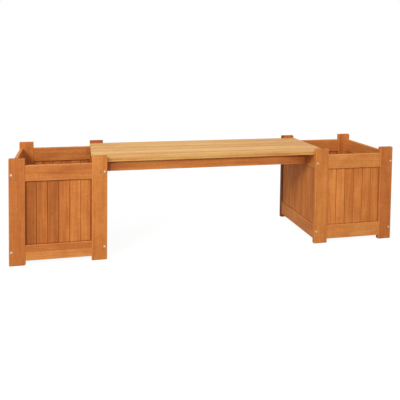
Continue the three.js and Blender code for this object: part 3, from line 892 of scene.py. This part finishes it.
# To the metre: clouds about 3 mm across, and a grain of 0.4 mm in the plate
ZINC_CLOUDS = 330.0
ZINC_GRAINS = 2500.0
# Roughness where the plate is clear, and how much rougher a cloud is
ZINC_ROUGHNESS = 0.32
ZINC_CLOUDED = 0.20
# Which way the sockets happened to be turned when the bolts were tight
SPIN_PICKS = {"left_planter": 12, "right_planter": 13}


def bolt_mesh(length):
    """A domed socket bolt, turned about Y: its head's seat at y = 0, its shank towards +Y."""
    turned = [(BOLT_SHANK_RADIUS * 0.5, length), (BOLT_SHANK_RADIUS, length - BOLT_TIP),
              (BOLT_SHANK_RADIUS, 0.0), (BOLT_HEAD_RADIUS - BOLT_BREAK, 0.0),
              (BOLT_HEAD_RADIUS, -BOLT_BREAK), (BOLT_HEAD_RADIUS, -BOLT_RIM)]
    dome = BOLT_HEAD_HEIGHT - BOLT_RIM
    for k in range(1, DOME_RINGS + 1):
        reach = 1 - (1 - DOME_STOP * BOLT_SOCKET_RADIUS / BOLT_HEAD_RADIUS) * k / DOME_RINGS
        turned.append((BOLT_HEAD_RADIUS * reach, -BOLT_RIM - dome * math.sqrt(1 - reach * reach)))
    top = turned[-1][1]
    rings = [(radius, y, False) for radius, y in turned]
    rings += [(BOLT_SOCKET_RADIUS * SOCKET_FLARE, top - BOLT_BREAK / 4, True),
              (BOLT_SOCKET_RADIUS, top + BOLT_BREAK / 2, True),
              (BOLT_SOCKET_RADIUS, -BOLT_HEAD_HEIGHT + BOLT_SOCKET_DEPTH, True)]
    points, faces = [], []
    for radius, y, six_sided in rings:
        for k in range(BOLT_SIDES):
            angle = 2 * math.pi * k / BOLT_SIDES
            flat = math.pi / 3
            cut = math.cos(flat / 2) / math.cos(angle % flat - flat / 2) if six_sided else 1.0
            points.append((radius * cut * math.cos(angle), y, radius * cut * math.sin(angle)))
    for k in range(len(rings) - 1):
        for j in range(BOLT_SIDES):
            n = (j + 1) % BOLT_SIDES
            a, b = k * BOLT_SIDES, (k + 1) * BOLT_SIDES
            faces.append((a + j, a + n, b + n, b + j))
    faces.append(tuple(reversed(range(BOLT_SIDES))))
    faces.append(tuple(range(len(points) - BOLT_SIDES, len(points))))
    mesh = bpy.data.meshes.new("one_bolt")
    mesh.from_pydata(points, [], faces)
    mesh.shade_smooth()
    mesh.set_sharp_from_angle(angle=BOLT_SHARP_ANGLE)
    return mesh


def zinc_plate():
    """Zinc plate on steel, turned a little yellow: pale, slightly clouded, with a fine grain."""
    stuff = bpy.data.materials.new("yellowed_zinc_plate")
    stuff.use_nodes = True
    tree = stuff.node_tree
    tree.nodes.clear()
    here = add(tree, "ShaderNodeTexCoord").outputs["Object"]
    cloud = add(tree, "ShaderNodeTexNoise", {"Vector": here, "Scale": ZINC_CLOUDS, "Detail": 2.0})
    fine = add(tree, "ShaderNodeTexNoise", {"Vector": here, "Scale": ZINC_GRAINS, "Detail": 2.0})
    colour = add(tree, "ShaderNodeMix", {"Factor": cloud, 6: tint("#b09a80"), 7: tint("#ccb59a")},
                 data_type="RGBA").outputs[2]
    gloss = add(tree, "ShaderNodeMath", {
        0: cloud, 1: ZINC_CLOUDED, 2: ZINC_ROUGHNESS}, operation="MULTIPLY_ADD")
    relief = add(tree, "ShaderNodeBump", {"Height": fine, "Strength": 0.2, "Distance": 0.00005})
    skin = add(tree, "ShaderNodeBsdfPrincipled", {
        "Base Color": colour, "Metallic": 1.0, "Roughness": gloss, "Normal": relief})
    add(tree, "ShaderNodeOutputMaterial", {"Surface": skin})
    return stuff


bolt_tree = bpy.data.node_groups.new("bolts_in_posts", "GeometryNodeTree")
bolt_inputs = sockets(bolt_tree, Holes="Geometry", Bolt="Object", Plate="Material", Seed="Int")
given = add(bolt_tree, "NodeGroupInput").outputs
hole_y = add(bolt_tree, "ShaderNodeSeparateXYZ", {
    0: add(bolt_tree, "GeometryNodeInputPosition")}).outputs["Y"]
behind = add(bolt_tree, "ShaderNodeMath", {0: hole_y, 1: 0.0}, operation="GREATER_THAN")
about = add(bolt_tree, "ShaderNodeMath", {0: behind, 1: math.pi}, operation="MULTIPLY")
spin = add(bolt_tree, "FunctionNodeRandomValue", {2: 0.0, 3: math.pi / 3, "Seed": given["Seed"]},
           data_type="FLOAT").outputs[1]
aim = add(bolt_tree, "ShaderNodeCombineXYZ", {"Y": spin, "Z": about})
one_bolt = add(bolt_tree, "GeometryNodeObjectInfo", {"Object": given["Bolt"]}).outputs["Geometry"]
bolts = add(bolt_tree, "GeometryNodeInstanceOnPoints", {
    "Points": given["Holes"], "Instance": one_bolt, "Rotation": aim})
bolts = add(bolt_tree, "GeometryNodeRealizeInstances", {"Geometry": bolts})
bolts = add(bolt_tree, "GeometryNodeSetMaterial", {"Geometry": bolts, "Material": given["Plate"]})
add(bolt_tree, "NodeGroupOutput", {0: bolts})

zinc = zinc_plate()
post_face = abs(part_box("left_planter_front_left_post")[0].y)
bolt_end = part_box("left_planter_front_left_lower_bolt")[1].y
bolt_object = bpy.data.objects.new("one_bolt", bolt_mesh(bolt_end + post_face))
scene.collection.objects.link(bolt_object)
for planter in PLANTERS:
    bolt_nodes = [f"{planter}_{face}_{end}_{level}_bolt"
                  for face in FACES for end, _ in ENDS for level in ("lower", "upper")]
    holes = []
    for node in bolt_nodes:
        low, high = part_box(node)
        middle = (low + high) / 2
        holes.append((middle.x, math.copysign(post_face, middle.y), middle.z))
    rows = bpy.data.meshes.new(f"{planter}_bolts")
    rows.from_pydata(holes, [], [])
    set_of_bolts = grown(f"{planter}_bolts", bolt_tree, {
        bolt_inputs["Bolt"]: bolt_object, bolt_inputs["Plate"]: zinc,
        bolt_inputs["Seed"]: SPIN_PICKS[planter]}, rows)
    fix(set_of_bolts, "zinc_bolt", zinc, *bolt_nodes)
bpy.data.objects.remove(bolt_object)


# Ground and backdrop
# A plain pale studio floor that runs out of sight in every direction, and a white backdrop.
# Neither is part of the bench.

GROUND_HALF = 9.0
# Grey that lights the bench from below as a pale floor does, and darker where it is seen, because
# its glow makes it white there
PAPER_BOUNCE = (0.42, 0.42, 0.42, 1.0)
PAPER_SEEN = (0.10, 0.10, 0.10, 1.0)
PAPER_GLOW = 0.94
AMBIENT = 0.56


def seen_directly(tree):
    """1 for rays that show the backdrop itself: straight, in a reflection or through glass."""
    paths = add(tree, "ShaderNodeLightPath").outputs
    seen = add(tree, "ShaderNodeMath", {0: paths["Is Camera Ray"], 1: paths["Is Glossy Ray"]},
               operation="MAXIMUM")
    return add(tree, "ShaderNodeMath", {0: seen, 1: paths["Is Transmission Ray"]},
               operation="MAXIMUM")


ground_mesh = bpy.data.meshes.new("ground")
ground_mesh.from_pydata([(-GROUND_HALF, -GROUND_HALF, 0), (GROUND_HALF, -GROUND_HALF, 0),
                         (GROUND_HALF, GROUND_HALF, 0), (-GROUND_HALF, GROUND_HALF, 0)], [], [(0, 1, 2, 3)])
ground = bpy.data.objects.new("ground", ground_mesh)
scene.collection.objects.link(ground)
paper = bpy.data.materials.new("white_studio_paper")
paper.use_nodes = True
tree = paper.node_tree
tree.nodes.clear()
seen = seen_directly(tree)
paper_colour = add(tree, "ShaderNodeMix", {
    "Factor": seen, 6: PAPER_BOUNCE, 7: PAPER_SEEN}, data_type="RGBA").outputs[2]
matt = add(tree, "ShaderNodeBsdfDiffuse", {"Color": paper_colour})
glow_strength = add(tree, "ShaderNodeMath", {0: seen, 1: PAPER_GLOW}, operation="MULTIPLY")
glow = add(tree, "ShaderNodeEmission", {"Color": (1, 1, 1, 1), "Strength": glow_strength})
both = add(tree, "ShaderNodeAddShader", {0: matt, 1: glow})
add(tree, "ShaderNodeOutputMaterial", {"Surface": both})
ground_mesh.materials.append(paper)

world = bpy.data.worlds.new("studio")
scene.world = world
world.use_nodes = True
tree = world.node_tree
tree.nodes.clear()
strength = add(tree, "ShaderNodeMath", {0: seen_directly(tree), 1: 1.0 - AMBIENT, 2: AMBIENT},
               operation="MULTIPLY_ADD")
sky = add(tree, "ShaderNodeBackground", {"Color": (1, 1, 1, 1), "Strength": strength})
add(tree, "ShaderNodeOutputWorld", {"Surface": sky})


# Lamps
# Three large soft boxes: one to the left and above, one low in front that reaches under the seat,
# and one overhead. The world fills in the rest.

# They are turned to this height over the middle of the bench's footprint
AIM_HEIGHT = 0.2


def soft_box(name, azimuth, elevation, distance, size, share):
    """A square lamp that lights a surface facing it to this share of its written colour."""
    lamp = bpy.data.lights.new(name, "AREA")
    lamp.shape = "SQUARE"
    lamp.size = size
    lamp.energy = share * (math.pi * distance) ** 2
    lamp.color = (1.0, 1.0, 1.0)
    out = Vector((math.sin(azimuth) * math.cos(elevation), -math.cos(azimuth) * math.cos(elevation),
                  math.sin(elevation)))
    stand = bpy.data.objects.new(name, lamp)
    stand.location = distance * out + Vector((0, 0, AIM_HEIGHT))
    stand.rotation_euler = out.to_track_quat("Z", "Y").to_euler()
    scene.collection.objects.link(stand)
    return stand


soft_box("left_soft_box", math.radians(-46), math.radians(36), 7.5, 1.9, 0.48)
soft_box("front_soft_box", math.radians(-8), math.radians(13), 7.5, 2.9, 0.21)
soft_box("overhead_soft_box", 0.0, math.radians(88), 3.2, 2.4, 0.19)


# Camera
# At waist height in front of the left planter, turned to the right and slightly down. The frame is
# the lower part of a taller view, so the lens is shifted down.

IMAGE_SIZE = 400
CAMERA_PLACE = (-0.6021, -2.2464, 0.8763)
FOCAL_PIXELS = 483.3
OPTICAL_CENTRE = (179.4, 77.1)
TURN_RIGHT = math.radians(11.85)
LOOK_DOWN = math.radians(2.63)
LEAN = math.radians(0.60)

lens = bpy.data.cameras.new("camera")
lens.sensor_width = 36.0
lens.lens = FOCAL_PIXELS * lens.sensor_width / IMAGE_SIZE
lens.shift_x = 0.5 - OPTICAL_CENTRE[0] / IMAGE_SIZE
lens.shift_y = OPTICAL_CENTRE[1] / IMAGE_SIZE - 0.5
lens.dof.use_dof = False
camera = bpy.data.objects.new("camera", lens)
camera.matrix_world = (
    Matrix.Translation(CAMERA_PLACE)
    @ Matrix.Rotation(-TURN_RIGHT, 4, "Z")
    @ Matrix.Rotation(0.5 * math.pi - LOOK_DOWN, 4, "X")
    @ Matrix.Rotation(LEAN, 4, "Z"))
scene.collection.objects.link(camera)
scene.camera = camera
scene.view_settings.view_transform = "Standard"
